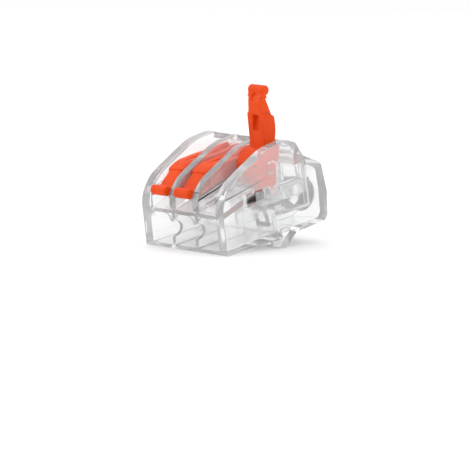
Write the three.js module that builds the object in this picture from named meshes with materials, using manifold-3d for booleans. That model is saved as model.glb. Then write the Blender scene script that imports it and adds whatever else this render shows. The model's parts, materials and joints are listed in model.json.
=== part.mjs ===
// Three-way lever wire connector: a clear two-part shell, three orange levers, three cage
// clamp springs and one current bar. Millimetres, +Z up.
// The pieces are laid out square to the shell: x across the wire entries, y from the entry
// face to the rear, z up from the flat base. The finished connector is then pitched nose down
// until it stands on its front edge and on the two latch feet under the rear cover.
import * as THREE from 'three';
import { mergeVertices } from 'three/addons/utils/BufferGeometryUtils.js';
import Module from 'manifold-3d';

const wasm = await Module();
wasm.setup();

// ---- Driving dimensions ----

const poles = 3;
const width = 17;
const shellDepth = 21.8;
const sideWall = 1.6;
const dividerWall = 0.6;
const slotLiner = 0.35; // what each slot wall gains in thickness above the roof
const fitGap = 0.14; // between the housing and the rear cover
const runGap = 0.18; // around a moving lever's hub and cam
const leverGap = 0.2; // beside a lever's handle
const overlap = 0.2; // how far joined shapes run into each other

// Entry face
const floorWall = 0.6;
const entryTop = 5.3;
const entryCornerRadius = 1.3;
const entryFootRadius = 0.3;
const lintel = 0.6; // from the top of an entry up to the ledge over it
const lipDepth = 0.8;
const lipChamfer = 0.3;
const roofSlope = 0.25;
const roofEnd = 8.5;
const roofStep = 0.15; // how far the roof stands above the ledge
const postTop = 1.9; // top of the short post at a divider's front edge
const lobeFoot = 4.2; // foot of the lobe above that post
const dividerRecess = 1.7; // how far the divider's edge curves back between them

// Rim of the side walls, from the ledge over the levers to the rear step
const rimPoints = [
  [0.0, 6.4],
  [0.3, 7.5],
  [0.9, 8.6],
  [1.7, 9.55],
  [2.8, 10.4],
  [4.6, 11.25],
  [6.4, 12.0],
  [8.2, 12.75],
  [9.5, 13.3],
  [10.8, 13.65],
  [13.0, 13.85],
  [14.8, 13.9],
];
const rimCornerHeight = 13.2;
const rearChamfer = 1.3; // length of the slope from the rim's corner down to the rear step
const rearStepHeight = 10.95;
const dividerDrop = 0.05;
const dividerSetback = 0.5;
const dividerInset = 0.4; // how far dividers and liners stay inside the rear roof

// Parting line between the housing and the rear cover
const partingHeight = 3.5;
const seamTop = 10.45;
const seamFoot = 10.9;
const seamOpening = 0.8; // width of the wedge gap at the base

// Rear cover
const coverDepth = 4.2; // from the rear step to the back of the cover
const coverWall = 1.0;
const coverFloor = 0.7;
const coverHeelLength = 5.5; // length of the slope from the base up to the back of the cover
const armThickness = 0.45; // of the latch arms
const armLow = 5.1;
const armTail = 1.4; // how far the arms run behind the rear step
const barbReach = 0.55; // how far a barb stands into its side window
const barbLength = 1.1;
const latchWindow = { front: 5.2, back: 10.1, low: 6.0, high: 8.0 };
const panelDepth = 0.12; // of the shallow panels in the side walls
const panelTop = 10.2;
const footStand = 11.8; // where the latch foot meets the table
const footDrop = 1.75;
const footSole = 1.3; // length of the flat sole, which lies on the table
const footWidth = 3.1;
const footInset = 0.15;

// Levers
const pivotY = 11.75;
const pivotZ = 10.4;
const backRise = 1.35; // from the pivot up to the lever's flat back
const openAngle = 108;
const tipY = 0.65;
const tipZ = 8.5;
const tipRadius = 0.75;
const hubRadius = 2.95;
const camRadius = 4.4;
const camEndRadius = 0.7;
const camRelief = 0.15; // how much narrower the cam is on each side than the handle
const neckRelief = 0.22; // how much narrower the neck is on each side than the handle
const neckFront = 1.75;
const neckBack = 4.1; // where the neck meets the lever's shoulder
const grooveWidth = 1.6;
const grooveFloor = 0.4; // above the pivot
const pocketWidth = 1.24;
const dimpleRadius = 0.62;
const trunnionRadius = 0.9;
const trunnionGap = 0.08;
const trunnionGrip = 0.4;
const trunnionEndGap = 0.06;
const openPole = 2; // the pole whose lever stands open

// Cage clamps and current bar
const bowRadius = 2.3;
const hubStripGap = 0.275; // from a lever's hub down to the strip under it
const bowGap = 0.175; // from the bow to the rear cover's inner face
const bowLegSlope = 40; // of the strip as it drops from the bar into the bow, in degrees
const stripThickness = 0.35;
const stripGap = 0.16; // from the strip's edge to a latch arm
const clampLegY = 10.3;
const clampLegCorner = 0.5;
const windowFrame = 0.475; // strip left on each side of the clamping leg's window
const windowSill = 0.6; // strip left under the window, which presses up towards the bar
const openStripGap = 0.684; // from the bar up to the strip's middle once its lever is open
const barThickness = 0.6;
const barHeight = 3.95;
const barSeatGap = 0.06; // from the bar up to the strip on it
const barEndGap = 0.1;
const barFront = 9.2;
const barBack = 12.9;
const spineFront = 11.45;
const tongueGap = 0.15; // beside a tongue in its clamp's window
const barLedgeWidth = 0.4;

// ---- Worked out from the driving dimensions ----

const sides = [-1, 1];
const half = width / 2;
const slotWidth = (width - 2 * sideWall - (poles - 1) * dividerWall) / poles;
const pitch = slotWidth + dividerWall;
const poleX = Array.from({ length: poles }, (_, i) => (i - (poles - 1) / 2) * pitch);
const dividerX = poleX.slice(1).map((x) => x - pitch / 2);
const innerHalf = half - sideWall;
const leverSlot = slotWidth - 2 * slotLiner;
const hubWidth = leverSlot - 2 * runGap;
const leverWidth = leverSlot - 2 * leverGap;
const ledgeHeight = entryTop + lintel;
const rearStep = shellDepth - coverDepth;
const rimTop = rimPoints.at(-1)[1];
const rimCorner = [rearStep - rearChamfer, rimCornerHeight];
const coverInner = shellDepth - coverWall;
const coverFront = seamFoot + seamOpening;
const barTop = barHeight + barThickness;
const bowY = coverInner - bowGap - stripThickness / 2 - bowRadius;
const bowTop = pivotZ - hubRadius - hubStripGap - stripThickness / 2;
const bowZ = bowTop - bowRadius;
const clampLegFoot = barHeight - windowSill;
const clampDrop = bowTop - barTop - openStripGap;
const clampFlex = THREE.MathUtils.radToDeg(Math.asin(clampDrop / (bowY - clampLegY)));
const stripWidth = slotWidth - 2 * (fitGap + armThickness + stripGap);
const windowWidth = stripWidth - 2 * windowFrame;
const tongueWidth = windowWidth - 2 * tongueGap;
const restTilt = Math.atan2(footDrop, footStand);
const curveSteps = 8;
const roundSteps = 28; // sides of a trunnion or its bearing
const hubSteps = 48;
const beyond = 20; // past every face of the connector, for the far end of a cut
const rad = THREE.MathUtils.degToRad;

const clearPlastic = new THREE.MeshStandardMaterial({
  color: 0xe4e8ea,
  roughness: 0.08,
  metalness: 0,
  transparent: true,
  opacity: 0.35,
});
const leverPlastic = new THREE.MeshStandardMaterial({ color: 0xe8401c, roughness: 0.4, metalness: 0 });
const springSteel = new THREE.MeshStandardMaterial({ color: 0x8d8f93, roughness: 0.3, metalness: 1 });
const tinnedCopper = new THREE.MeshStandardMaterial({ color: 0xb9b6b0, roughness: 0.35, metalness: 1 });

// ---- Solids ----

/** A closed geometry as a solid that can be cut and joined. */
function solid(geometry) {
  const bare = geometry.clone();
  bare.deleteAttribute('normal');
  bare.deleteAttribute('uv');
  const merged = mergeVertices(bare, 1e-4);
  const vertProperties = new Float32Array(merged.attributes.position.array);
  const triVerts = new Uint32Array(merged.index.array);
  return new wasm.Manifold(new wasm.Mesh({ numProp: 3, vertProperties, triVerts }));
}

function join(parts) {
  return parts.reduce((whole, part) => whole.add(part));
}

function cut(body, tools) {
  return tools.reduce((left, tool) => left.subtract(tool), body);
}

function meshOf(body, name, material) {
  const { vertProperties, triVerts } = body.getMesh();
  const geometry = new THREE.BufferGeometry();
  geometry.setAttribute('position', new THREE.BufferAttribute(new Float32Array(vertProperties), 3));
  geometry.setIndex(new THREE.BufferAttribute(new Uint32Array(triVerts), 1));
  geometry.computeVertexNormals();
  const mesh = new THREE.Mesh(geometry, material);
  mesh.name = name;
  return mesh;
}

function outline(points) {
  return new THREE.Shape(points.map(([u, v]) => new THREE.Vector2(u, v)));
}

/** A shape drawn in y and z, extruded across x from low to high. */
function acrossX(shape, low, high) {
  const geometry = new THREE.ExtrudeGeometry(shape, {
    depth: high - low,
    bevelEnabled: false,
    curveSegments: curveSteps,
  });
  const turn = new THREE.Matrix4().makeBasis(
    new THREE.Vector3(0, 1, 0),
    new THREE.Vector3(0, 0, 1),
    new THREE.Vector3(1, 0, 0),
  );
  geometry.applyMatrix4(turn);
  geometry.translate(low, 0, 0);
  return solid(geometry);
}

/** A shape drawn in x and z, extruded along y from low to high. */
function alongY(shape, low, high) {
  const geometry = new THREE.ExtrudeGeometry(shape, {
    depth: high - low,
    bevelEnabled: false,
    curveSegments: curveSteps,
  });
  geometry.rotateX(Math.PI / 2);
  geometry.translate(0, high, 0);
  return solid(geometry);
}

/** A shape drawn in x and y, extruded up z from low to high. */
function upZ(shape, low, high) {
  const geometry = new THREE.ExtrudeGeometry(shape, {
    depth: high - low,
    bevelEnabled: false,
    curveSegments: curveSteps,
  });
  geometry.translate(0, 0, low);
  return solid(geometry);
}

function block(x0, x1, y0, y1, z0, z1) {
  const geometry = new THREE.BoxGeometry(x1 - x0, y1 - y0, z1 - z0);
  geometry.translate((x0 + x1) / 2, (y0 + y1) / 2, (z0 + z1) / 2);
  return solid(geometry);
}

/** The two x faces of something on one side of a middle plane, the lower one first. */
function facesBeside(middle, side, near, far) {
  return [middle + side * near, middle + side * far].sort((a, b) => a - b);
}

/** A round pin or hole across x, centred on x. */
function pinX(radius, x, reach, y, z, segments = roundSteps) {
  const geometry = new THREE.CylinderGeometry(radius, radius, 2 * reach, segments);
  geometry.rotateZ(Math.PI / 2);
  geometry.translate(x, y, z);
  return solid(geometry);
}

// ---- Outlines that several pieces share ----

/** Points along the rim of a wall, lowered by drop and starting at y = from. */
function rimLine(drop, from) {
  const curve = new THREE.SplineCurve(rimPoints.map(([y, z]) => new THREE.Vector2(y, z - drop)));
  const line = curve.getPoints(rimPoints.length * 3).filter((p) => p.x > from && p.x < rimCorner[0]);
  return [...line.map((p) => [p.x, p.y]), rimCorner, [rearStep, rearStepHeight]];
}

/** Height of the sloping roof's underside over the wire channel. */
function roofUnder(y) {
  return entryTop + roofSlope * Math.max(y - lipDepth, 0);
}

// ---- Housing: front, side walls, dividers and roof of the clear shell ----

function sideWallOutline() {
  return outline([
    [0, 0],
    [seamFoot, 0],
    [seamTop, partingHeight],
    [rearStep, partingHeight],
    ...rimLine(0, -1).reverse(),
  ]);
}

function dividerOutline() {
  const low = floorWall / 2;
  const clampFront = barFront - 0.35;
  const shelf = barTop + 0.45;
  const back = rearStep - dividerInset;
  return outline([
    [0, low],
    [clampFront, low],
    [clampFront, shelf],
    [back, shelf],
    [back, rearStepHeight - dividerInset],
    ...rimLine(dividerDrop, dividerSetback).slice(0, -1).reverse(),
    [dividerSetback, ledgeHeight],
    [0, ledgeHeight],
  ]);
}

/** The thicker upper part of a slot's wall, from the roof to the rim. */
function linerOutline() {
  const foot = pivotZ - hubRadius + 0.15;
  const back = rearStep - dividerInset;
  return outline([
    [dividerSetback, ledgeHeight],
    [lipDepth, ledgeHeight],
    [roofEnd, foot],
    [back, foot],
    [back, rearStepHeight - dividerInset],
    ...rimLine(dividerDrop, dividerSetback).slice(0, -1).reverse(),
  ]);
}

/** The roof over the wire channels, which slopes up from the lip to the levers' hubs. */
function roofOutline() {
  const front = ledgeHeight + roofStep;
  return outline([
    [lipDepth / 2, entryTop],
    [lipDepth, entryTop],
    [roofEnd, roofUnder(roofEnd)],
    [roofEnd, front + roofSlope * (roofEnd - lipDepth)],
    [lipDepth, front],
    [lipChamfer, ledgeHeight],
  ]);
}

/** The roof behind the levers, which the open lever leans against. */
function rearRoofOutline() {
  const reach = camRadius + 2 * runGap;
  const arc = new THREE.Path();
  arc.absarc(pivotY, pivotZ, reach, rad(28), rad(-8), true);
  const under = arc.getPoints(curveSteps).map((p) => [p.x, p.y]);
  const drop = 0.8;
  return outline([
    [leverBackY(rimTop) + runGap, rimTop],
    [leverBackY(rimTop - drop) + runGap, rimTop - drop],
    ...under,
    [rearStep, under.at(-1)[1]],
    [rearStep, rearStepHeight],
    rimCorner,
  ]);
}

/** Where the back of an open lever stands at height z. */
function leverBackY(z) {
  const lean = rad(openAngle - 90);
  return pivotY + backRise / Math.cos(lean) + (z - pivotZ) * Math.tan(lean);
}

function entryShape(centre) {
  const w = slotWidth / 2;
  const r = entryCornerRadius;
  const foot = entryFootRadius;
  const shape = new THREE.Shape();
  shape.moveTo(centre - w + foot, floorWall);
  shape.lineTo(centre + w - foot, floorWall);
  shape.quadraticCurveTo(centre + w, floorWall, centre + w, floorWall + foot);
  shape.lineTo(centre + w, entryTop - r);
  shape.absarc(centre + w - r, entryTop - r, r, 0, Math.PI / 2, false);
  shape.lineTo(centre - w + r, entryTop);
  shape.absarc(centre - w + r, entryTop - r, r, Math.PI / 2, Math.PI, false);
  shape.lineTo(centre - w, floorWall + foot);
  shape.quadraticCurveTo(centre - w, floorWall, centre - w + foot, floorWall);
  return shape;
}

/** The divider's front edge curves back between a short post and the lobe above it. */
function dividerRelief(x) {
  const middle = (postTop + lobeFoot) / 2;
  const rise = (lobeFoot - postTop) / 2;
  const shape = new THREE.Shape();
  shape.moveTo(-1, postTop);
  shape.lineTo(0, postTop);
  shape.absellipse(0, middle, dividerRecess, rise, -Math.PI / 2, Math.PI / 2, false);
  shape.lineTo(-1, lobeFoot);
  return acrossX(shape, x - dividerWall, x + dividerWall);
}

/** One wall between two poles, from an outline in side view. */
function dividerOf(shape) {
  return dividerX.map((x) => acrossX(shape, x - dividerWall / 2, x + dividerWall / 2));
}

function housing() {
  const walls = sides.map((side) => acrossX(sideWallOutline(), ...facesBeside(0, side, innerHalf, half)));
  const inside = innerHalf + overlap;
  const linerReach = slotWidth / 2 + overlap;
  const liners = poleX.flatMap((x) =>
    sides.map((side) => acrossX(linerOutline(), ...facesBeside(x, side, leverSlot / 2, linerReach))),
  );
  const seamAtFloor = seamFoot - ((seamFoot - seamTop) * floorWall) / partingHeight;
  const floor = acrossX(
    outline([
      [0, 0],
      [seamFoot, 0],
      [seamAtFloor, floorWall],
      [0, floorWall],
    ]),
    -inside,
    inside,
  );
  const face = block(-inside, inside, 0, lipDepth, 0, ledgeHeight);
  const entries = poleX.map((x) => alongY(entryShape(x), -1, lipDepth + 1));
  const lip = cut(face, entries);
  const roof = acrossX(roofOutline(), -inside, inside);
  const rearRoof = acrossX(rearRoofOutline(), -inside, inside);
  const ledges = sides.map((side) => {
    const faces = facesBeside(0, side, innerHalf - barLedgeWidth, inside);
    return block(...faces, spineFront, barBack + 0.6, partingHeight, barHeight - fitGap);
  });
  const dividers = dividerOf(dividerOutline());
  const shell = join([...walls, ...dividers, ...liners, floor, lip, roof, rearRoof, ...ledges]);

  const reliefs = dividerX.map(dividerRelief);
  const bearingReach = leverSlot / 2 + trunnionGrip + trunnionEndGap;
  const bearings = poleX.map((x) => pinX(trunnionRadius + trunnionGap, x, bearingReach, pivotY, pivotZ));
  return cut(shell, [...reliefs, ...bearings, ...sidePanels(), ...latchWindows()]);
}

/** Shallow panels and bands that are moulded into the outside of both side walls. */
function sidePanels() {
  return sides.flatMap((side) => {
    const faces = facesBeside(0, side, half - panelDepth, beyond);
    return [
      block(...faces, 4.1, 12.2, partingHeight + 0.4, panelTop),
      block(...faces, lipDepth, seamTop - 0.55, floorWall + 1, partingHeight),
    ];
  });
}

function latchWindows() {
  const { front, back, low, high } = latchWindow;
  const inner = innerHalf - 0.05;
  return sides.map((side) => block(...facesBeside(0, side, inner, beyond), front, back, low, high));
}

// ---- Rear cover: closes the shell, latches into its side windows and carries the feet ----

/** Points along the outside of the cover, from the front of its floor round to the rear step. */
const coverOuter = [
  [coverFront, 0],
  [shellDepth - coverHeelLength, 0],
  [shellDepth - 1.1, 0.15],
  [shellDepth - 0.35, 1.0],
  [shellDepth, 4.4],
  [shellDepth - 0.65, 8.8],
  [shellDepth - 1.1, 9.25],
  [rearStep + fitGap, rearStepHeight - 0.1],
];

function coverSideOutline() {
  const low = partingHeight - fitGap;
  return outline([...coverOuter, [rearStep + fitGap, low], [seamTop + fitGap, low]]);
}

/** The cover's skin in side view: floor, rear wall and sloping top. */
function coverSkinOutline() {
  return outline([
    ...coverOuter,
    [rearStep + fitGap, rearStepHeight - 0.1 - coverWall],
    [coverInner - 0.7, 8.55],
    [coverInner - 0.2, 8.0],
    [coverInner, 5.0],
    [coverInner - 0.15, 1.4],
    [coverInner - 0.8, coverFloor],
    [coverFront - 0.2, coverFloor],
  ]);
}

/** A rib of the cover, which parts two clamps under and behind the bar. */
function coverRibOutline() {
  const front = barBack - 0.9;
  const top = barHeight - 2 * fitGap;
  const low = coverFloor - overlap;
  const back = coverInner + overlap;
  return outline([
    [front, low],
    [back, low],
    [back, 8.0],
    [rearStep + fitGap, rearStepHeight - coverWall + 0.1],
    [rearStep + fitGap, top],
    [front, top],
  ]);
}

/** A latch foot: it bends down and forward from the cover to a flat sole on the table. */
function footOutline() {
  const soleFront = footStand - footSole / 2;
  const soleBack = footStand + footSole / 2;
  const tableSlope = footDrop / footStand;
  return outline([
    [9.55, -0.35],
    [9.7, -0.8],
    [soleFront, -soleFront * tableSlope],
    [soleBack, -soleBack * tableSlope],
    [soleBack + 0.5, -footDrop + 0.3],
    [14.7, 0],
    [14.7, overlap],
    [coverFront, overlap],
    [coverFront, -0.05],
    [seamFoot + 0.1, -0.3],
  ]);
}

/** The barb at the front of a latch arm, which stands in a window of the side wall. */
function barbOutline(front, top) {
  const low = latchWindow.low + fitGap;
  const back = latchWindow.back - fitGap;
  return outline([
    [front, low],
    [back, low],
    [back, top],
    [front + 0.2, top],
  ]);
}

function rearCover() {
  const inside = innerHalf + overlap;
  const armOuter = innerHalf - fitGap;
  const armInner = armOuter - armThickness;
  const armFront = latchWindow.back - barbLength;
  const armBack = rearStep + armTail;
  const armHigh = pivotZ - hubRadius - runGap - 0.02;
  const sideParts = sides.flatMap((side) => {
    const between = (near, far) => facesBeside(0, side, near, far);
    return [
      acrossX(coverSideOutline(), ...between(innerHalf, half)),
      acrossX(footOutline(), ...between(half - footInset - footWidth, half - footInset)),
      block(...between(armInner, armOuter), armFront, armBack, armLow, armHigh),
      block(...between(armInner, inside), rearStep + fitGap, armBack, armLow, armHigh),
      acrossX(barbOutline(armFront, armHigh), ...between(armInner, innerHalf + barbReach)),
    ];
  });
  const skin = acrossX(coverSkinOutline(), -inside, inside);
  return join([skin, ...sideParts, ...dividerOf(coverRibOutline())]);
}

// ---- Levers ----

/** Side view of a closed lever: tip barrel, neck, shoulder, long back, cam and underside. */
function leverOutline() {
  const shape = new THREE.Shape();
  const back = pivotZ + backRise;
  const camAngle = rad(openAngle - 90);
  const camY = pivotY + (camRadius - camEndRadius) * Math.cos(camAngle);
  const camZ = pivotZ + (camRadius - camEndRadius) * Math.sin(camAngle);
  const neckStart = tipZ + 0.4;
  const shoulder = pivotZ + 0.25;
  const underside = tipZ - 0.55;
  shape.absarc(tipY, tipZ, tipRadius, rad(-60), rad(-332), true);
  shape.quadraticCurveTo(neckFront - 0.05, neckStart, neckFront + 0.25, neckStart + 0.2);
  shape.lineTo(neckBack, shoulder);
  shape.lineTo(neckBack + 0.05, shoulder + 0.28);
  shape.quadraticCurveTo(5.5, back - 0.08, 7.0, back);
  shape.lineTo(pivotY, back);
  shape.absarc(camY, camZ, camEndRadius, camAngle + rad(70), camAngle - rad(100), true);
  shape.absarc(pivotY, pivotZ, hubRadius, rad(-35), rad(-165), true);
  shape.lineTo(6.2, underside + 1);
  shape.lineTo(2.9, underside);
  shape.quadraticCurveTo(1.8, underside - 0.23, tipY + tipRadius, underside - 0.05);
  return shape;
}

/** The groove in a lever's back, which widens from a point towards the cam. */
function leverGroove(x) {
  const edge = grooveWidth / 2;
  const tip = 6.2;
  const wide = pivotY + 2.25;
  const end = camRadius + pivotY + 1;
  const shape = outline([
    [x, tip],
    [x + edge, wide],
    [x + edge, end],
    [x - edge, end],
    [x - edge, wide],
  ]);
  return upZ(shape, pivotZ + grooveFloor, beyond);
}

/** The round dimple and the square pocket in a lever's underside. */
function leverHollows(x) {
  const pocket = block(x - pocketWidth / 2, x + pocketWidth / 2, 4.4, 6.6, 7, 9.35);
  const dimple = new THREE.CylinderGeometry(dimpleRadius, dimpleRadius, 2, 3 * curveSteps);
  dimple.rotateX(Math.PI / 2 - 0.25);
  dimple.translate(x, 1.55, tipZ - 1.45);
  return [pocket, solid(dimple)];
}

function lever(x) {
  const handle = acrossX(leverOutline(), x - leverWidth / 2, x + leverWidth / 2);
  const hubReach = hubWidth / 2;
  const hub = pinX(hubRadius, x, hubReach, pivotY, pivotZ, hubSteps);
  const aboveBack = block(x - leverSlot, x + leverSlot, 0, beyond, pivotZ + backRise, beyond);
  const trunnion = pinX(trunnionRadius, x, leverSlot / 2 + trunnionGrip, pivotY, pivotZ);
  const camStart = pivotY + hubRadius - 0.4;
  const beside = (side, relief) => facesBeside(x, side, leverWidth / 2 - relief, leverSlot);
  const camSides = sides.map((side) => block(...beside(side, camRelief), camStart, beyond, 5, beyond));
  const neckSides = sides.map((side) => block(...beside(side, neckRelief), neckFront, neckBack, 5, beyond));
  const body = cut(handle, [...camSides, ...neckSides]);
  return cut(join([body, cut(hub, [aboveBack]), trunnion]), [leverGroove(x), ...leverHollows(x)]);
}

/** Turns a solid about an axis across x; a positive angle swings what lies in front down. */
function turnedAbout(body, y, z, degrees) {
  const { vertProperties, triVerts } = body.getMesh();
  const geometry = new THREE.BufferGeometry();
  geometry.setAttribute('position', new THREE.BufferAttribute(new Float32Array(vertProperties), 3));
  geometry.setIndex(new THREE.BufferAttribute(new Uint32Array(triVerts), 1));
  geometry.translate(0, -y, -z);
  geometry.rotateX(rad(degrees));
  geometry.translate(0, y, z);
  return solid(geometry);
}

// ---- Cage clamp springs and current bar ----

/** Centre line of the strip, from the leg on the bar round the bow to the clamping leg. */
function clampLine(flex) {
  const line = new THREE.Path();
  const legZ = barTop + barSeatGap + stripThickness / 2;
  const slope = rad(bowLegSlope);
  const bowStart = rad(-90 - bowLegSlope);
  const startY = bowY + bowRadius * Math.cos(bowStart);
  const startZ = bowZ + bowRadius * Math.sin(bowStart);
  const bendY = startY - (legZ - startZ) / Math.tan(slope);
  const bend = 0.35;
  line.moveTo(spineFront + 0.1, legZ);
  line.lineTo(bendY - bend, legZ);
  line.quadraticCurveTo(bendY, legZ, bendY + bend * Math.cos(slope), legZ - bend * Math.sin(slope));
  line.lineTo(startY, startZ);
  line.absarc(bowY, bowZ, bowRadius, bowStart, rad(90 + flex), false);
  const bow = new THREE.Vector2(bowY, bowZ);
  const swung = (y, z) => new THREE.Vector2(y, z).rotateAround(bow, rad(flex)).toArray();
  line.lineTo(...swung(clampLegY + clampLegCorner, bowTop));
  line.quadraticCurveTo(...swung(clampLegY, bowTop), ...swung(clampLegY, bowTop - clampLegCorner));
  line.lineTo(...swung(clampLegY, clampLegFoot));
  return line;
}

/** The strip's edge-on outline: its centre line moved half a thickness to each side. */
function stripOutline(flex) {
  const steps = 6;
  const path = clampLine(flex);
  const points = path.curves.flatMap((curve, i) => {
    const count = curve.isEllipseCurve ? 4 * steps : curve.isLineCurve ? 1 : steps;
    return curve.getPoints(count).slice(i === 0 ? 0 : 1);
  });
  const offset = (side) =>
    points.map((p, i) => {
      const before = points[Math.max(i - 1, 0)];
      const after = points[Math.min(i + 1, points.length - 1)];
      const along = new THREE.Vector2().subVectors(after, before).normalize();
      return [p.x - (side * along.y * stripThickness) / 2, p.y + (side * along.x * stripThickness) / 2];
    });
  return outline([...offset(1), ...offset(-1).reverse()]);
}

function clampSpring(x, flex) {
  const strip = acrossX(stripOutline(flex), x - stripWidth / 2, x + stripWidth / 2);
  const opening = block(
    x - windowWidth / 2,
    x + windowWidth / 2,
    clampLegY - 1.2,
    clampLegY + 0.45,
    clampLegFoot + windowSill,
    bowTop - stripThickness / 2 - 0.05,
  );
  return cut(strip, [turnedAbout(opening, bowY, bowZ, flex)]);
}

function currentBar() {
  const reach = innerHalf - barEndGap;
  const spine = block(-reach, reach, spineFront, barBack, barHeight, barTop);
  const tongues = poleX.map((x) =>
    block(x - tongueWidth / 2, x + tongueWidth / 2, barFront, spineFront + 0.5, barHeight, barTop),
  );
  return join([spine, ...tongues]);
}

// ---- Assembly ----

const shellGroup = new THREE.Group();
shellGroup.add(meshOf(housing(), 'housing', clearPlastic));
shellGroup.add(meshOf(rearCover(), 'rear_cover', clearPlastic));
shellGroup.add(meshOf(currentBar(), 'current_bar', tinnedCopper));

poleX.forEach((x, i) => {
  const isOpen = i === openPole;
  const piece = isOpen ? turnedAbout(lever(x), pivotY, pivotZ, -openAngle) : lever(x);
  shellGroup.add(meshOf(piece, `lever_${i + 1}`, leverPlastic));
  shellGroup.add(meshOf(clampSpring(x, isOpen ? clampFlex : 0), `clamp_spring_${i + 1}`, springSteel));
});

shellGroup.rotation.x = restTilt;
shellGroup.updateMatrixWorld(true);
const box = new THREE.Box3().setFromObject(shellGroup, true);
shellGroup.position.set(0, -(box.min.y + box.max.y) / 2, -box.min.z);

const connector = new THREE.Group();
connector.add(shellGroup);
connector.updateMatrixWorld(true);

export default connector;
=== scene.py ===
"""Looks of a three-way lever wire connector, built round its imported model.

The shell and its rear cover are clear polycarbonate with softened moulded edges. The levers
are satin orange plastic, the clamp springs bent steel strip and the current bar tinned
copper. Shapes are worked in shell coordinates, in millimetres: x across the wire entries,
y from the entry face to the rear and z up from the flat base.
"""

import json
import logging
import math
from dataclasses import dataclass
from enum import Enum
from typing import Any, Iterable

import bmesh
import bpy
from mathutils import Matrix, Vector

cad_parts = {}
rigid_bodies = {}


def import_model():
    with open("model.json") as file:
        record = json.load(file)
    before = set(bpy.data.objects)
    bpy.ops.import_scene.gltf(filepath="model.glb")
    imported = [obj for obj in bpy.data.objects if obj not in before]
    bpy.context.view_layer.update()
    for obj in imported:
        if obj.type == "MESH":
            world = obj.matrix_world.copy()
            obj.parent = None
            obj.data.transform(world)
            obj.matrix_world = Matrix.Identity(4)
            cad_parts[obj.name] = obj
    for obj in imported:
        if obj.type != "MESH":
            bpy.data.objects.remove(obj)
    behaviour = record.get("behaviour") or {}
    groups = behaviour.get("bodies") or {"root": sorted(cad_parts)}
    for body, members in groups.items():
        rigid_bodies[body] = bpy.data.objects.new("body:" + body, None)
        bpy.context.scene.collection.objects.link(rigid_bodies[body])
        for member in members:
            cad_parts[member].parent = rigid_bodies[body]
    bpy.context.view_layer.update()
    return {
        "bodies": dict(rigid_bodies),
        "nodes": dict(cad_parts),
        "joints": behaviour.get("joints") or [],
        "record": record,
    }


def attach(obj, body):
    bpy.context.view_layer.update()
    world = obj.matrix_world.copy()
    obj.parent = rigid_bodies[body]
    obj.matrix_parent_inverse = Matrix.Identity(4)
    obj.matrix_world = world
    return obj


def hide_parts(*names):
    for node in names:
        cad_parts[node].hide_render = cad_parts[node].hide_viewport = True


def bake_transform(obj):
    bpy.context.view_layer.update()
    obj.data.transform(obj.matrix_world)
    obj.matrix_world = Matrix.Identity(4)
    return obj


log = logging.getLogger("connector")

MM = 0.001


class Slot(Enum):
    """The record's material slots."""

    CLEAR_SHELL = "clear_shell"
    LEVER_ORANGE = "lever_orange"
    SPRING_STEEL = "spring_steel"
    TINNED_COPPER = "tinned_copper"


# ---- Shader values ----


class Value:
    """A shader number. Sums, products and powers of values add Math nodes."""

    def __init__(self, board: "Board", socket: bpy.types.NodeSocket) -> None:
        """Wraps one output socket of a board's node."""
        self.board = board
        self.socket = socket

    def _math(self, operation: str, first: "Number", second: "Number") -> "Value":
        """A Math node on two numbers."""
        node = self.board.add("ShaderNodeMath", {"operation": operation}, {0: first, 1: second})
        return Value(self.board, node.outputs[0])

    def __add__(self, other: "Number") -> "Value":
        """Value + number."""
        return self._math("ADD", self, other)

    def __radd__(self, other: "Number") -> "Value":
        """Number + value."""
        return self._math("ADD", other, self)

    def __sub__(self, other: "Number") -> "Value":
        """Value - number."""
        return self._math("SUBTRACT", self, other)

    def __rsub__(self, other: "Number") -> "Value":
        """Number - value."""
        return self._math("SUBTRACT", other, self)

    def __mul__(self, other: "Number") -> "Value":
        """Value * number."""
        return self._math("MULTIPLY", self, other)

    def __rmul__(self, other: "Number") -> "Value":
        """Number * value."""
        return self._math("MULTIPLY", other, self)

    def __abs__(self) -> "Value":
        """The size of the value, without its sign."""
        return self._math("ABSOLUTE", self, 0.0)

    def step(self, low: float, high: float) -> "Value":
        """A smooth step from 0 at low to 1 at high.

        Args:
            low: where the step starts.
            high: where it is complete; lower than low turns the step round.

        Returns:
            The stepped value.
        """
        node = self.board.add(
            "ShaderNodeMapRange",
            {"interpolation_type": "SMOOTHSTEP"},
            {"Value": self, "From Min": low, "From Max": high},
        )
        return Value(self.board, node.outputs["Result"])


Number = Value | float


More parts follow.
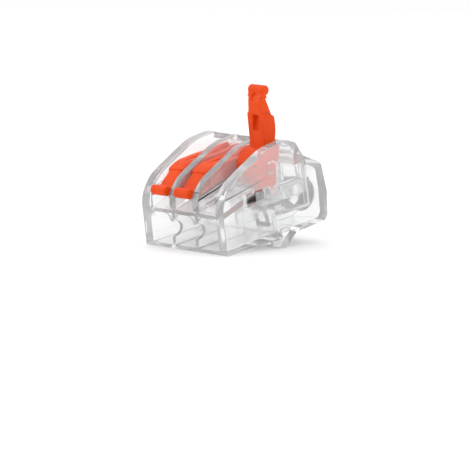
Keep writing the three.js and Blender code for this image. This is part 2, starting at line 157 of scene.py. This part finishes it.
class Board:
    """The node tree of one material, or of the world."""

    def __init__(self, owner: bpy.types.Material | bpy.types.World) -> None:
        """Empties the node tree of a material or a world.

        Args:
            owner: the material or world that the nodes are for.
        """
        owner.use_nodes = True
        self.owner = owner
        self.tree = owner.node_tree
        self.tree.nodes.clear()

    @classmethod
    def named(cls, name: str) -> "Board":
        """The board of a new material with this name."""
        return cls(bpy.data.materials.new(name))

    def add(
        self,
        kind: str,
        settings: dict[str, Any] | None = None,
        inputs: dict[str | int, Any] | None = None,
    ) -> bpy.types.Node:
        """Adds a node.

        Args:
            kind: the node's Blender type.
            settings: properties set first; "stops" gives a ramp's (position, colour) pairs.
            inputs: values, sockets or Values for its input sockets, by name or place.

        Returns:
            The new node.
        """
        node = self.tree.nodes.new(kind)
        for key, setting in (settings or {}).items():
            if key == "stops":
                self._set_stops(node.color_ramp, setting)
            else:
                setattr(node, key, setting)
        for key, given in (inputs or {}).items():
            source = given.socket if isinstance(given, Value) else given
            if isinstance(source, bpy.types.NodeSocket):
                self.tree.links.new(source, node.inputs[key])
            else:
                node.inputs[key].default_value = source
        return node

    @staticmethod
    def _set_stops(ramp: bpy.types.ColorRamp, stops: list[tuple[float, tuple]]) -> None:
        """Gives a colour ramp its stops."""
        while len(ramp.elements) < len(stops):
            ramp.elements.new(0.5)
        for element, (position, colour) in zip(ramp.elements, stops):
            element.position = position
            element.color = colour

    def value(self, kind: str, output: str | int, settings: dict, inputs: dict) -> Value:
        """Adds a node and wraps one of its outputs as a number."""
        return Value(self, self.add(kind, settings, inputs).outputs[output])

    def object_point(self) -> bpy.types.NodeSocket:
        """The point on the piece in its own coordinates, in metres."""
        return self.add("ShaderNodeTexCoord").outputs["Object"]

    def noise(self, point: bpy.types.NodeSocket, scale: float, detail: float = 3.0) -> Value:
        """Even noise from 0 to 1.

        Args:
            point: the vector that the noise reads.
            scale: repeats for each unit of that vector.
            detail: octaves of finer noise.

        Returns:
            The noise as a number.
        """
        return self.value(
            "ShaderNodeTexNoise", "Fac", {}, {"Vector": point, "Scale": scale, "Detail": detail}
        )

    def stretched(self, point: bpy.types.NodeSocket, scale: tuple) -> bpy.types.NodeSocket:
        """The point with each axis multiplied by its own factor."""
        node = self.add("ShaderNodeMapping", {}, {"Vector": point, "Scale": scale})
        return node.outputs["Vector"]

    def bump(self, height: Value, distance: float, strength: float) -> bpy.types.NodeSocket:
        """A normal that is tipped by a height field.

        Args:
            height: the field, from 0 to 1.
            distance: how high 1 stands, in metres.
            strength: the share of the tipping that is kept.

        Returns:
            The Bump node's normal.
        """
        node = self.add(
            "ShaderNodeBump", {}, {"Height": height, "Distance": distance, "Strength": strength}
        )
        return node.outputs["Normal"]

    def blend(self, share: Number, first: Any, second: Any) -> bpy.types.NodeSocket:
        """A colour between two colours, by a share from 0 to 1."""
        node = self.add(
            "ShaderNodeMix", {"data_type": "RGBA"}, {"Factor": share, 6: first, 7: second}
        )
        return node.outputs[2]

    def finish(self, surface: bpy.types.NodeSocket) -> bpy.types.Material:
        """Joins a shader to the material's output and gives the material."""
        self.add("ShaderNodeOutputMaterial", {}, {"Surface": surface})
        return self.owner


# ---- Shell coordinates ----


@dataclass(frozen=True)
class ShellFrame:
    """Places shell coordinates, in millimetres, in the row frame, in metres.

    The shell stands pitched nose down. The entry face's mount gives the pitch and the place.
    """

    pitch: float
    origin: Vector

    @classmethod
    def from_record(cls, record: dict, face_height: float = 5.6) -> "ShellFrame":
        """Reads the frame from the mount on the entry face.

        Args:
            record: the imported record.
            face_height: height of that mount above the flat base, in millimetres.

        Returns:
            The shell frame.
        """
        mount = next(m for m in record["mounts"] if m["name"] == "entry_face")
        _, along, up = mount["axis"]
        pitch = math.atan2(-up, -along)
        turn = Matrix.Rotation(pitch, 3, "X")
        origin = Vector(mount["pos_m"]) - turn @ Vector((0, 0, face_height * MM))
        return cls(pitch, origin)

    @property
    def to_row(self) -> Matrix:
        """Turns shell coordinates into the row frame."""
        place = Matrix.Translation(self.origin) @ Matrix.Rotation(self.pitch, 4, "X")
        return place @ Matrix.Scale(MM, 4)

    def point(self, x: float, y: float, z: float) -> Vector:
        """A shell point in the row frame."""
        return self.to_row @ Vector((x, y, z))

    def coordinates(self, board: Board) -> bpy.types.NodeSocket:
        """Shell coordinates in millimetres for a material."""
        node = board.add(
            "ShaderNodeMapping",
            {"vector_type": "TEXTURE"},
            {
                "Vector": board.object_point(),
                "Location": self.origin,
                "Rotation": (self.pitch, 0, 0),
                "Scale": (MM, MM, MM),
            },
        )
        return node.outputs["Vector"]


# ---- Finishes ----


@dataclass(frozen=True)
class ClearPolycarbonate:
    """Clear moulded plastic: polished walls with faint flow marks and misted side panels."""

    frame: ShellFrame
    half_width: float = 8.5
    refraction: float = 1.58
    clarity: float = 0.85
    tint: tuple = (0.992, 0.994, 0.996, 1)
    flow_tint: tuple = (0.978, 0.984, 0.988, 1)
    lamp_tint: tuple = (0.985, 0.985, 0.985, 1)
    lamp_share: float = 0.96
    panel: tuple = (4.1, 12.2, 3.9, 10.2)

    def _inside(self, number: Value, low: float, high: float, edge: float = 0.05) -> Value:
        """1 where a number lies between two limits, 0 outside, with soft edges."""
        return number.step(low - edge, low + edge) * number.step(high + edge, high - edge)

    def _panel_mask(self, board: Board, place: bpy.types.NodeSocket) -> Value:
        """1 on the recessed panels of the two side walls, 0 elsewhere."""
        split = board.add("ShaderNodeSeparateXYZ", {}, {0: place})
        x, y, z = (Value(board, out) for out in split.outputs)
        front, back, low, high = self.panel
        outside = abs(x).step(self.half_width - 0.3, self.half_width - 0.2)
        return outside * self._inside(y, front, back) * self._inside(z, low, high)

    def material(self) -> bpy.types.Material:
        """Builds the material."""
        board = Board.named("clear polycarbonate")
        place = self.frame.coordinates(board)
        mist = self._panel_mask(board, place)
        flow = board.noise(board.stretched(place, (0.5, 0.16, 0.5)), 1.0, 2.0)
        grain = board.noise(place, 5.0, 4.0)
        rough = 0.018 + 0.05 * flow * grain + 0.2 * mist * (0.6 + 0.8 * grain)
        height = flow + 0.05 * grain
        shader = board.add(
            "ShaderNodeBsdfPrincipled",
            {},
            {
                "Base Color": board.blend(flow, self.tint, self.flow_tint),
                "Roughness": rough,
                "Transmission Weight": self.clarity,
                "IOR": self.refraction,
                "Normal": board.bump(height, 0.00003, 0.35),
            },
        )
        lamp = board.add("ShaderNodeBsdfTransparent", {}, {"Color": self.lamp_tint})
        ray = board.value("ShaderNodeLightPath", "Is Shadow Ray", {}, {})
        both = board.add(
            "ShaderNodeMixShader",
            {},
            {0: ray * self.lamp_share, 1: shader.outputs[0], 2: lamp.outputs[0]},
        )
        return board.finish(both.outputs[0])


@dataclass(frozen=True)
class LeverPlastic:
    """Satin orange plastic with a fine spark-eroded grain and slight colour drift."""

    orange: tuple = (0.80, 0.072, 0.004, 1)
    deep: tuple = (0.71, 0.055, 0.003, 1)
    pale: tuple = (0.84, 0.10, 0.008, 1)

    def material(self) -> bpy.types.Material:
        """Builds the material."""
        board = Board.named("lever orange plastic")
        point = board.object_point()
        drift = board.noise(point, 260.0, 3.0)
        grain = board.noise(point, 6500.0, 3.0)
        scuffs = board.noise(board.stretched(point, (1.0, 0.25, 1.0)), 2400.0, 4.0)
        worn = scuffs.step(0.62, 0.78)
        tone = board.blend(drift.step(0.35, 0.7), self.deep, self.orange)
        shader = board.add(
            "ShaderNodeBsdfPrincipled",
            {},
            {
                "Base Color": board.blend(0.5 * worn, tone, self.pale),
                "Roughness": 0.36 + 0.14 * grain + 0.08 * worn,
                "IOR": 1.5,
                "Specular IOR Level": 0.14,
                "Subsurface Weight": 0.06,
                "Subsurface Radius": (1.0, 0.3, 0.1),
                "Subsurface Scale": 0.0006,
                "Normal": board.bump(grain + 0.6 * drift, 0.00001, 0.5),
            },
        )
        return board.finish(shader.outputs[0])


@dataclass(frozen=True)
class RolledSteel:
    """Spring steel strip: fine rolling lines and a slightly dulled surface."""

    bright: tuple = (0.26, 0.26, 0.265, 1)
    dull: tuple = (0.10, 0.10, 0.105, 1)

    def material(self) -> bpy.types.Material:
        """Builds the material."""
        board = Board.named("rolled spring steel")
        point = board.object_point()
        lines = board.noise(board.stretched(point, (9000.0, 500.0, 500.0)), 1.0, 4.0)
        cloud = board.noise(point, 450.0, 3.0)
        shader = board.add(
            "ShaderNodeBsdfPrincipled",
            {},
            {
                "Base Color": board.blend(cloud.step(0.3, 0.7), self.dull, self.bright),
                "Metallic": 1.0,
                "Roughness": 0.2 + 0.16 * lines + 0.08 * cloud,
                "Normal": board.bump(lines, 0.000004, 0.6),
            },
        )
        return board.finish(shader.outputs[0])


@dataclass(frozen=True)
class TinnedCopper:
    """Tin plate over copper: cloudy and soft, with warm copper showing through in places."""

    tin: tuple = (0.70, 0.69, 0.67, 1)
    cloud: tuple = (0.56, 0.55, 0.53, 1)
    copper: tuple = (0.72, 0.40, 0.24, 1)

    def material(self) -> bpy.types.Material:
        """Builds the material."""
        board = Board.named("tinned copper")
        point = board.object_point()
        cloud = board.noise(point, 700.0, 5.0)
        fine = board.noise(point, 5200.0, 3.0)
        bare = fine.step(0.66, 0.8) * cloud.step(0.45, 0.6)
        plate = board.blend(cloud.step(0.3, 0.72), self.cloud, self.tin)
        shader = board.add(
            "ShaderNodeBsdfPrincipled",
            {},
            {
                "Base Color": board.blend(bare * 0.6, plate, self.copper),
                "Metallic": 1.0,
                "Roughness": 0.26 + 0.2 * cloud,
                "Normal": board.bump(fine + cloud, 0.000006, 0.6),
            },
        )
        return board.finish(shader.outputs[0])


@dataclass(frozen=True)
class StudioPaper:
    """Matt white paper under the connector."""

    white: tuple = (0.92, 0.92, 0.92, 1)
    shade: tuple = (0.91, 0.91, 0.915, 1)

    def material(self) -> bpy.types.Material:
        """Builds the material."""
        board = Board.named("studio paper")
        tooth = board.noise(board.object_point(), 1500.0, 3.0)
        shader = board.add(
            "ShaderNodeBsdfPrincipled",
            {},
            {
                "Base Color": board.blend(tooth, self.white, self.shade),
                "Roughness": 0.85 + 0.1 * tooth,
                "Specular IOR Level": 0.1,
            },
        )
        return board.finish(shader.outputs[0])


# ---- Shapes ----


@dataclass(frozen=True)
class EdgeRounding:
    """Rounds the hard edges of a moulded or cut shape.

    An edge is rounded only where both of its faces are wide enough to take the radius.
    """

    radius: float
    segments: int = 3
    least_angle: float = 28.0
    room: float = 2.3
    corner_share: float = 0.48

    def _width_beside(self, face: bmesh.types.BMFace, edge: bmesh.types.BMEdge) -> float:
        """How far a face reaches inward from the middle of one of its edges."""
        loop = next(loop for loop in face.loops if loop.edge == edge)
        start, end = loop.vert.co, loop.link_loop_next.vert.co
        middle = (start + end) / 2
        along = (end - start).normalized()
        inward = face.normal.cross(along)
        reaches = []
        for other in face.edges:
            first, second = (vert.co - middle for vert in other.verts)
            near, far = first.dot(along), second.dot(along)
            if other == edge or near * far > 0 or abs(near - far) < 1e-6:
                continue
            share = near / (near - far)
            reach = first.dot(inward) * (1 - share) + second.dot(inward) * share
            if reach > 1e-5:
                reaches.append(reach)
        return min(reaches, default=0.0)

    def _takes(self, edge: bmesh.types.BMEdge) -> bool:
        """True if an edge is hard and has room for the radius on both sides."""
        if len(edge.link_faces) != 2:
            return False
        if edge.calc_face_angle(0.0) < math.radians(self.least_angle):
            return False
        return all(self._width_beside(f, edge) > self.room * self.radius for f in edge.link_faces)

    def _cramped(self, edges: set[bmesh.types.BMEdge]) -> set[bmesh.types.BMEdge]:
        """The edges that meet another of the set at too sharp a corner for the radius."""
        cramped: set[bmesh.types.BMEdge] = set()
        for face in {f for e in edges for f in e.link_faces}:
            for loop in face.loops:
                first, second = loop.link_loop_prev.edge, loop.edge
                if first not in edges or second not in edges or not loop.is_convex:
                    continue
                reach = self.radius / math.tan(max(loop.calc_angle(), 0.01) / 2)
                if reach > self.corner_share * min(first.calc_length(), second.calc_length()):
                    cramped |= {first, second}
        return cramped

    def apply(self, shape: bmesh.types.BMesh) -> int:
        """Bevels the hard edges.

        Args:
            shape: the mesh, in millimetres.

        Returns:
            How many edges were rounded.
        """
        fit = {e for e in shape.edges if self._takes(e)}
        fit -= self._cramped(fit)
        edges = sorted(fit, key=lambda e: e.index)
        bmesh.ops.bevel(
            shape,
            geom=edges,
            offset=self.radius,
            offset_type="OFFSET",
            affect="EDGES",
            segments=self.segments,
            profile=0.5,
            material=-1,
            clamp_overlap=False,
            loop_slide=True,
            miter_outer="SHARP",
            miter_inner="SHARP",
        )
        return len(edges)


@dataclass
class Workshop:
    """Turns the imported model's nodes and new shapes into finished pieces."""

    nodes: dict[str, bpy.types.Object]
    frame: ShellFrame

    def copy_of(self, node: str) -> bmesh.types.BMesh:
        """A node's shape in shell coordinates, with flat faces made whole.

        Args:
            node: the node's name.

        Returns:
            The shape as a bmesh, in millimetres.
        """
        shape = bmesh.new()
        shape.from_mesh(self.nodes[node].data)
        bmesh.ops.transform(shape, matrix=self.frame.to_row.inverted(), verts=shape.verts)
        bmesh.ops.remove_doubles(shape, verts=shape.verts, dist=0.004)
        bmesh.ops.dissolve_degenerate(shape, dist=0.002, edges=shape.edges)
        bmesh.ops.dissolve_limit(
            shape,
            angle_limit=math.radians(0.7),
            use_dissolve_boundaries=False,
            verts=shape.verts,
            edges=shape.edges,
        )
        shape.normal_update()
        return shape

    def piece(
        self,
        name: str,
        shape: bmesh.types.BMesh,
        slot: Slot,
        material: bpy.types.Material,
        smooth_angle: float = 34.0,
    ) -> bpy.types.Object:
        """Brings a shape back to the row frame as a shaded object.

        Args:
            name: the piece's name.
            shape: its mesh in shell coordinates; it is used up.
            slot: the record's material slot it takes; not used.
            material: its material.
            smooth_angle: edges flatter than this are shaded smooth, in degrees.

        Returns:
            The new object.
        """
        bmesh.ops.transform(shape, matrix=self.frame.to_row, verts=shape.verts)
        mesh = bpy.data.meshes.new(name)
        shape.to_mesh(mesh)
        shape.free()
        mesh.materials.append(material)
        mesh.shade_smooth()
        mesh.set_sharp_from_angle(angle=math.radians(smooth_angle))
        thing = bpy.data.objects.new(name, mesh)
        bpy.context.scene.collection.objects.link(thing)
        weighted = thing.modifiers.new("even shading", "WEIGHTED_NORMAL")
        weighted.keep_sharp = True
        log.info("%s: %d faces", name, len(mesh.polygons))
        return thing


# ---- Sub-assemblies ----


@dataclass
class ClearShell:
    """The housing and the rear cover that closes it."""

    workshop: Workshop
    finish: ClearPolycarbonate
    edge_radius: float = 0.13

    def build(self) -> None:
        """Makes both mouldings and fixes them to the shell."""
        material = self.finish.material()
        for node in ("housing", "rear_cover"):
            shape = self.workshop.copy_of(node)
            EdgeRounding(self.edge_radius).apply(shape)
            moulding = self.workshop.piece(f"{node}_moulding", shape, Slot.CLEAR_SHELL, material)
            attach(moulding, "shell")
            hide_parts(node)


@dataclass
class Levers:
    """The three orange levers."""

    workshop: Workshop
    finish: LeverPlastic
    count: int = 3
    edge_radius: float = 0.24
    fine_radius: float = 0.07

    def build(self) -> None:
        """Makes each lever and hangs it on its own body."""
        material = self.finish.material()
        for number in range(1, self.count + 1):
            node = f"lever_{number}"
            shape = self.workshop.copy_of(node)
            EdgeRounding(self.edge_radius, room=2.0).apply(shape)
            EdgeRounding(self.fine_radius, segments=2, least_angle=40.0).apply(shape)
            lever = self.workshop.piece(f"{node}_moulding", shape, Slot.LEVER_ORANGE, material)
            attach(lever, node)
            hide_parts(node)


class StripBender:
    """Bends a steel strip: rows of points across x are drawn on along straights and round turns."""

    edges = EdgeRounding(0.05, segments=2, least_angle=50.0, room=1.5)

    def __init__(self, columns: Iterable[float], start: Vector, heading: float) -> None:
        """Starts a strip.

        Args:
            columns: places across x where the strip has lines along it.
            start: the middle of the first row, in shell coordinates.
            heading: direction of travel from +y towards +z, in radians.
        """
        self.shape = bmesh.new()
        self.place = Vector(start)
        self.heading = heading
        row = [self.shape.verts.new((x, start.y, start.z)) for x in columns]
        self.row = [self.shape.edges.new(pair) for pair in zip(row, row[1:])]

    @property
    def _ahead(self) -> Vector:
        """Unit vector in the direction of travel."""
        return Vector((0, math.cos(self.heading), math.sin(self.heading)))

    def forward(self, length: float) -> list[bmesh.types.BMFace]:
        """Draws the strip straight on.

        Args:
            length: how far, in millimetres.

        Returns:
            The new faces.
        """
        grown = bmesh.ops.extrude_edge_only(self.shape, edges=self.row)["geom"]
        fresh = [g for g in grown if isinstance(g, bmesh.types.BMVert)]
        bmesh.ops.translate(self.shape, vec=self._ahead * length, verts=fresh)
        self.place += self._ahead * length
        members = set(fresh)
        self.row = [
            g for g in grown if isinstance(g, bmesh.types.BMEdge) and set(g.verts) <= members
        ]
        return [g for g in grown if isinstance(g, bmesh.types.BMFace)]

    def turn(self, radius: float, degrees: float, steps: int) -> None:
        """Bends the strip round an axis across x.

        Args:
            radius: of the strip's middle line, in millimetres.
            degrees: how far it turns; positive turns from +y towards +z.
            steps: rows in the bend.
        """
        side = 1 if degrees > 0 else -1
        towards = Vector((0, -math.sin(self.heading), math.cos(self.heading))) * side
        centre = self.place + towards * radius
        grown = bmesh.ops.spin(
            self.shape,
            geom=self.row + list({v for e in self.row for v in e.verts}),
            cent=centre,
            axis=Vector((1, 0, 0)),
            angle=math.radians(degrees),
            steps=steps,
            use_duplicate=False,
        )["geom_last"]
        self.row = [g for g in grown if isinstance(g, bmesh.types.BMEdge)]
        turned = Matrix.Rotation(math.radians(degrees), 3, "X")
        self.place = centre + turned @ (self.place - centre)
        self.heading += math.radians(degrees)

    def finished(self, thickness: float) -> bmesh.types.BMesh:
        """Gives the strip its thickness, half to each side, and softens its edges."""
        shape = self.shape
        bmesh.ops.remove_doubles(shape, verts=shape.verts, dist=0.001)
        bmesh.ops.recalc_face_normals(shape, faces=shape.faces)
        for vert in shape.verts:
            vert.normal_update()
        lift = {v: v.normal * (thickness / 2) for v in shape.verts}
        for vert, step in lift.items():
            vert.co += step
        bmesh.ops.solidify(shape, geom=shape.faces, thickness=thickness)
        bmesh.ops.recalc_face_normals(shape, faces=shape.faces)
        self.edges.apply(shape)
        return shape


def poles_of(record: dict) -> tuple[float, ...]:
    """Middles of the three poles across x, in millimetres, from the levers' joints."""
    joints = record["behaviour"]["joints"]
    return tuple(j["pos_m"][0] / MM for j in joints if j["child"].startswith("lever"))


@dataclass
class ClampSprings:
    """The three cage clamps, each bent from one strip.

    The bearing leg and the lower half of the bow stay on the bar. The upper half of the bow and the
    windowed leg are a second piece, drawn in place and bent further on the open pole, so each spring is
    two pieces that meet at the rearmost line of the bow.
    """

    workshop: Workshop
    finish: RolledSteel
    poles: tuple[float, ...]
    open_pole: int = 2
    open_flex: float = 13.0
    bow_y: float = 18.15
    bow_z: float = 4.7
    bow_radius: float = 2.3
    thickness: float = 0.35
    width: float = 2.7
    leg_y: float = 10.3
    leg_foot: float = 3.35
    leg_bend: float = 0.5
    window_width: float = 1.75
    window_sill: float = 0.6
    window_top: float = 6.45
    bearing_front: float = 11.55
    bearing_z: float = 4.785
    bearing_angle: float = 40.0
    bearing_bend: float = 0.9

    def _columns(self, pole: float) -> list[float]:
        """Places across x of the strip's edges and of the window's sides."""
        half, inner = self.width / 2, self.window_width / 2
        return [pole - half, pole - inner, pole + inner, pole + half]

    def _upper(self, pole: float, flex: float) -> bmesh.types.BMesh:
        """The upper half of the bow, the top leg and the leg with the window."""
        start = Vector((0, self.bow_y + self.bow_radius, self.bow_z))
        strip = StripBender(self._columns(pole), start, math.radians(90))
        strip.turn(self.bow_radius, 90 + flex, 22)
        strip.forward(self.bow_y - self.leg_y - self.leg_bend)
        strip.turn(self.leg_bend, 90, 7)
        top = self.bow_z + self.bow_radius
        strip.forward(top - self.leg_bend - self.window_top)
        beside = strip.forward(self.window_top - self.leg_foot - self.window_sill)
        middle = min(beside, key=lambda f: abs(f.calc_center_median().x - pole))
        bmesh.ops.delete(strip.shape, geom=[middle], context="FACES_ONLY")
        strip.forward(self.window_sill)
        return strip.finished(self.thickness)

    def _lower(self, pole: float) -> bmesh.types.BMesh:
        """The lower half of the bow and the leg that bears on the bar."""
        start = Vector((0, self.bow_y + self.bow_radius, self.bow_z))
        strip = StripBender(self._columns(pole), start, math.radians(-90))
        strip.turn(self.bow_radius, -(90 + self.bearing_angle), 26)
        lean = math.radians(self.bearing_angle)
        rise = self.bearing_z - strip.place.z
        bend_rise = self.bearing_bend * (1 - math.cos(lean))
        strip.forward((rise - bend_rise) / math.sin(lean))
        strip.turn(self.bearing_bend, self.bearing_angle, 5)
        strip.forward(strip.place.y - self.bearing_front)
        return strip.finished(self.thickness)

    def build(self) -> None:
        """Makes each spring, its lower part fixed to the shell and its upper part drawn in place, bent
        further on the open pole.
        """
        material = self.finish.material()
        frame = self.workshop.frame
        bend_from = frame.point(0, self.bow_y + self.bow_radius, self.bow_z)
        bend_to = frame.point(0, self.bow_y, self.bow_z + self.bow_radius)
        for index, pole in enumerate(self.poles):
            number = index + 1
            flex = self.open_flex if index == self.open_pole else 0.0
            parts = {"bearing": self._lower(pole), "cage": self._upper(pole, flex)}
            for part, shape in parts.items():
                name = f"clamp_spring_{number}_{part}"
                piece = self.workshop.piece(name, shape, Slot.SPRING_STEEL, material, 45.0)
                if part == "bearing":
                    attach(piece, "shell")
                else:
                    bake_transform(piece)
                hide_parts(f"clamp_spring_{number}")


@dataclass
class CurrentBar:
    """The bar that joins the three poles."""

    workshop: Workshop
    finish: TinnedCopper
    edge_radius: float = 0.08

    def build(self) -> None:
        """Makes the bar and fixes it to the shell."""
        shape = self.workshop.copy_of("current_bar")
        EdgeRounding(self.edge_radius).apply(shape)
        bar = self.workshop.piece(
            "current_bar_stamping", shape, Slot.TINNED_COPPER, self.finish.material()
        )
        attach(bar, "shell")
        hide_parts("current_bar")


# ---- Studio ----


@dataclass(frozen=True)
class Softbox:
    """A square area lamp: name, place and aim in millimetres, size in millimetres, power in watts."""

    name: str
    place: tuple
    size: float
    power: float
    aim: tuple = (0.0, 0.0, 8.0)

    def build(self) -> None:
        """Hangs the lamp in the scene, facing its aim."""
        lamp = bpy.data.lights.new(self.name, "AREA")
        lamp.shape = "SQUARE"
        lamp.size = self.size * MM
        lamp.energy = self.power
        holder = bpy.data.objects.new(self.name, lamp)
        holder.location = Vector(self.place) * MM
        facing = Vector(self.aim) * MM - holder.location
        holder.rotation_euler = facing.to_track_quat("-Z", "Y").to_euler()
        bpy.context.scene.collection.objects.link(holder)


@dataclass
class Studio:
    """White paper floor, soft lamps, even surroundings and the camera."""

    azimuth: float = 45.0
    elevation: float = 8.5
    distance: float = 600.0
    lens: float = 310.8
    target: tuple = (0.79, -0.61, 1.4)
    sensor: float = 36.0
    floor_radius: float = 1600.0
    floor_drop: float = 0.03
    front_direction: tuple = (0.68, -0.68, 0.27)
    front_start: float = 0.7
    front_end: float = 0.95
    front_shade: tuple = (0.86, 0.86, 0.87, 1)
    white: tuple = (1.0, 1.0, 1.0, 1)
    bounces: int = 24
    lamps: tuple = (
        Softbox("overhead softbox", (-60, 40, 330), 320, 0.3),
        Softbox("left softbox", (-330, -160, 170), 220, 0.25),
        Softbox("right strip", (300, 140, 120), 140, 0.12),
    )

    def _floor(self) -> None:
        """The paper that the connector stands on."""
        sheet = bmesh.new()
        bmesh.ops.create_circle(sheet, cap_ends=True, segments=96, radius=self.floor_radius * MM)
        bmesh.ops.translate(sheet, vec=(0, 0, -self.floor_drop * MM), verts=sheet.verts)
        mesh = bpy.data.meshes.new("studio_floor")
        sheet.to_mesh(mesh)
        sheet.free()
        mesh.materials.append(StudioPaper().material())
        floor = bpy.data.objects.new("studio_floor", mesh)
        bpy.context.scene.collection.objects.link(floor)

    def _surroundings(self) -> None:
        """A bright room that is darker towards the front, seen plain white by the camera."""
        world = bpy.data.worlds.new("studio")
        bpy.context.scene.world = world
        board = Board(world)
        direction = board.add("ShaderNodeTexCoord").outputs["Generated"]
        facing = board.value(
            "ShaderNodeVectorMath",
            "Value",
            {"operation": "DOT_PRODUCT"},
            {0: direction, 1: self.front_direction},
        )
        stops = [(self.front_start, self.white), (self.front_end, self.front_shade)]
        shade = board.add("ShaderNodeValToRGB", {"stops": stops}, {0: facing}).outputs[0]
        seen = board.value("ShaderNodeLightPath", "Is Camera Ray", {}, {})
        glow = board.add(
            "ShaderNodeBackground", {}, {"Color": board.blend(seen, shade, self.white), "Strength": 1.0}
        )
        board.add("ShaderNodeOutputWorld", {}, {"Surface": glow.outputs[0]})

    def _camera(self) -> None:
        """The camera at the catalogue view."""
        turn, rise = math.radians(self.azimuth), math.radians(self.elevation)
        level = Vector((math.sin(turn), -math.cos(turn), 0)) * math.cos(rise)
        away = level + Vector((0, 0, math.sin(rise)))
        camera = bpy.data.cameras.new("camera")
        camera.lens = self.lens
        camera.sensor_width = self.sensor
        camera.clip_start = 0.01
        camera.clip_end = 20.0
        holder = bpy.data.objects.new("camera", camera)
        aim = Vector(self.target) * MM
        holder.location = aim + away * self.distance * MM
        holder.rotation_euler = (-away).to_track_quat("-Z", "Y").to_euler()
        bpy.context.scene.collection.objects.link(holder)
        bpy.context.scene.camera = holder

    def build(self) -> None:
        """Sets the whole studio up."""
        self._floor()
        self._surroundings()
        self._camera()
        for lamp in self.lamps:
            lamp.build()
        scene = bpy.context.scene
        scene.view_settings.view_transform = "Standard"
        scene.cycles.max_bounces = self.bounces
        scene.cycles.transmission_bounces = self.bounces
        scene.cycles.transparent_max_bounces = self.bounces


def main() -> None:
    """Builds the connector's pieces in order, then the studio."""
    logging.basicConfig(level=logging.INFO, format="%(name)s: %(message)s")
    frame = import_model()
    shell_frame = ShellFrame.from_record(frame["record"])
    workshop = Workshop(frame["nodes"], shell_frame)
    CurrentBar(workshop, TinnedCopper()).build()
    ClampSprings(workshop, RolledSteel(), poles_of(frame["record"])).build()
    Levers(workshop, LeverPlastic()).build()
    ClearShell(workshop, ClearPolycarbonate(shell_frame)).build()
    Studio().build()
    bpy.context.view_layer.update()


if __name__ == "__main__":
    main()
